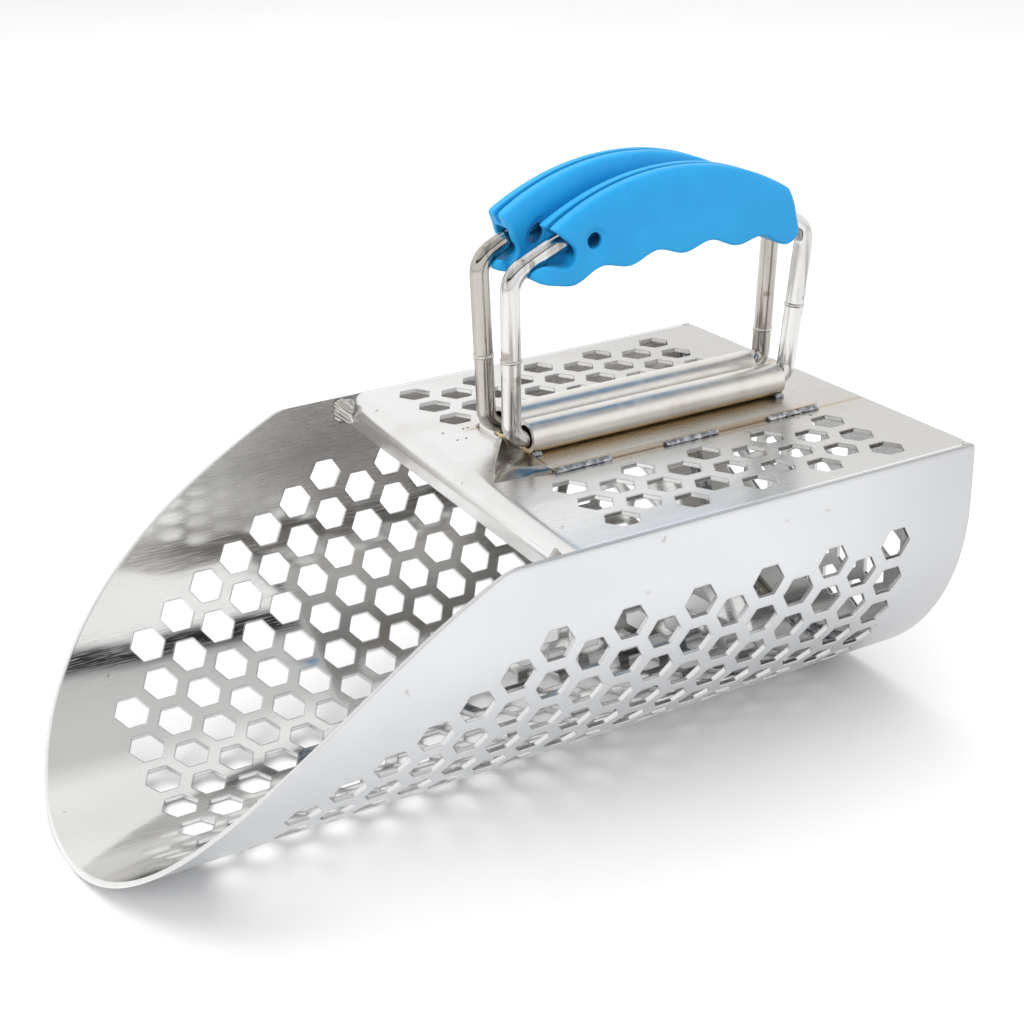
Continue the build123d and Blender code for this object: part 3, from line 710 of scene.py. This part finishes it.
def softbox(name, stands_at, aim, size, power):
    """An area light that is not seen in reflections."""
    data = bpy.data.lights.new(name, "AREA")
    data.shape = "RECTANGLE"
    data.size, data.size_y = size
    data.energy = power
    lamp = add_object(name, data)
    lamp.visible_glossy = False
    lamp.location = stands_at
    lamp.rotation_euler = (Vector(aim) - Vector(stands_at)).to_track_quat("-Z", "Y").to_euler()


def studio_world():
    """A white surround. On the camera's side it is grey high up, over a slanting black bar."""
    world = bpy.data.worlds.new("studio")
    bpy.context.scene.world = world
    world.use_nodes = True
    tree = world.node_tree

    def math_node(operation, first, second):
        made = tree.nodes.new("ShaderNodeMath")
        made.operation = operation
        for socket, value in zip(made.inputs, (first, second)):
            if isinstance(value, bpy.types.NodeSocket):
                tree.links.new(value, socket)
            else:
                socket.default_value = value
        return made.outputs[0]

    def ramp(value, stops):
        made = tree.nodes.new("ShaderNodeValToRGB")
        tree.links.new(value, made.inputs[0])
        elements = made.color_ramp.elements
        elements[0].position, elements[1].position = stops[0][0], stops[-1][0]
        for stop in stops[1:-1]:
            elements.new(stop[0])
        for element, stop in zip(elements, stops):
            element.color = (stop[1], stop[1], stop[1], 1)
        return made.outputs[0]

    coords = tree.nodes.new("ShaderNodeTexCoord")
    direction = tree.nodes.new("ShaderNodeSeparateXYZ")
    tree.links.new(coords.outputs["Generated"], direction.inputs[0])
    east, north, height = direction.outputs
    slanted = math_node("SUBTRACT", height, math_node("MULTIPLY", east, BAR_SLANT))
    front = ramp(slanted, FRONT_LEVELS)
    back = ramp(height, BACK_LEVELS)
    turned_away = tree.nodes.new("ShaderNodeMapRange")
    turned_away.inputs["From Min"].default_value = BACK_FROM
    turned_away.inputs["From Max"].default_value = BACK_FULL
    tree.links.new(north, turned_away.inputs["Value"])
    blend = tree.nodes.new("ShaderNodeMix")
    blend.data_type = "RGBA"
    tree.links.new(turned_away.outputs[0], blend.inputs[0])
    tree.links.new(front, blend.inputs[6])
    tree.links.new(back, blend.inputs[7])
    tree.links.new(blend.outputs[2], tree.nodes["Background"].inputs[0])
    tree.nodes["Background"].inputs[1].default_value = WORLD_LEVEL


def camera():
    """Looks down at the scoop from the left of its mouth."""
    ahead = Vector(
        (
            math.sin(CAMERA_YAW) * math.cos(CAMERA_PITCH),
            math.cos(CAMERA_YAW) * math.cos(CAMERA_PITCH),
            -math.sin(CAMERA_PITCH),
        )
    )
    level = Vector((math.cos(CAMERA_YAW), -math.sin(CAMERA_YAW), 0))
    upright = level.cross(ahead)
    right = math.cos(CAMERA_ROLL) * level + math.sin(CAMERA_ROLL) * upright
    up = math.cos(CAMERA_ROLL) * upright - math.sin(CAMERA_ROLL) * level
    data = bpy.data.cameras.new("camera")
    data.lens = CAMERA_LENS
    data.clip_start = CAMERA_NEAR
    eye = add_object("camera", data)
    turned = Matrix((right, up, -ahead)).transposed()
    eye.matrix_world = Matrix.Translation(CAMERA_AT) @ turned.to_4x4()
    bpy.context.scene.camera = eye


plain_floor()
studio_world()
for name, (stands_at, aim, size, power) in SOFTBOXES.items():
    softbox(name, stands_at, aim, size, power)
camera()
bpy.context.scene.view_settings.view_transform = "Standard"
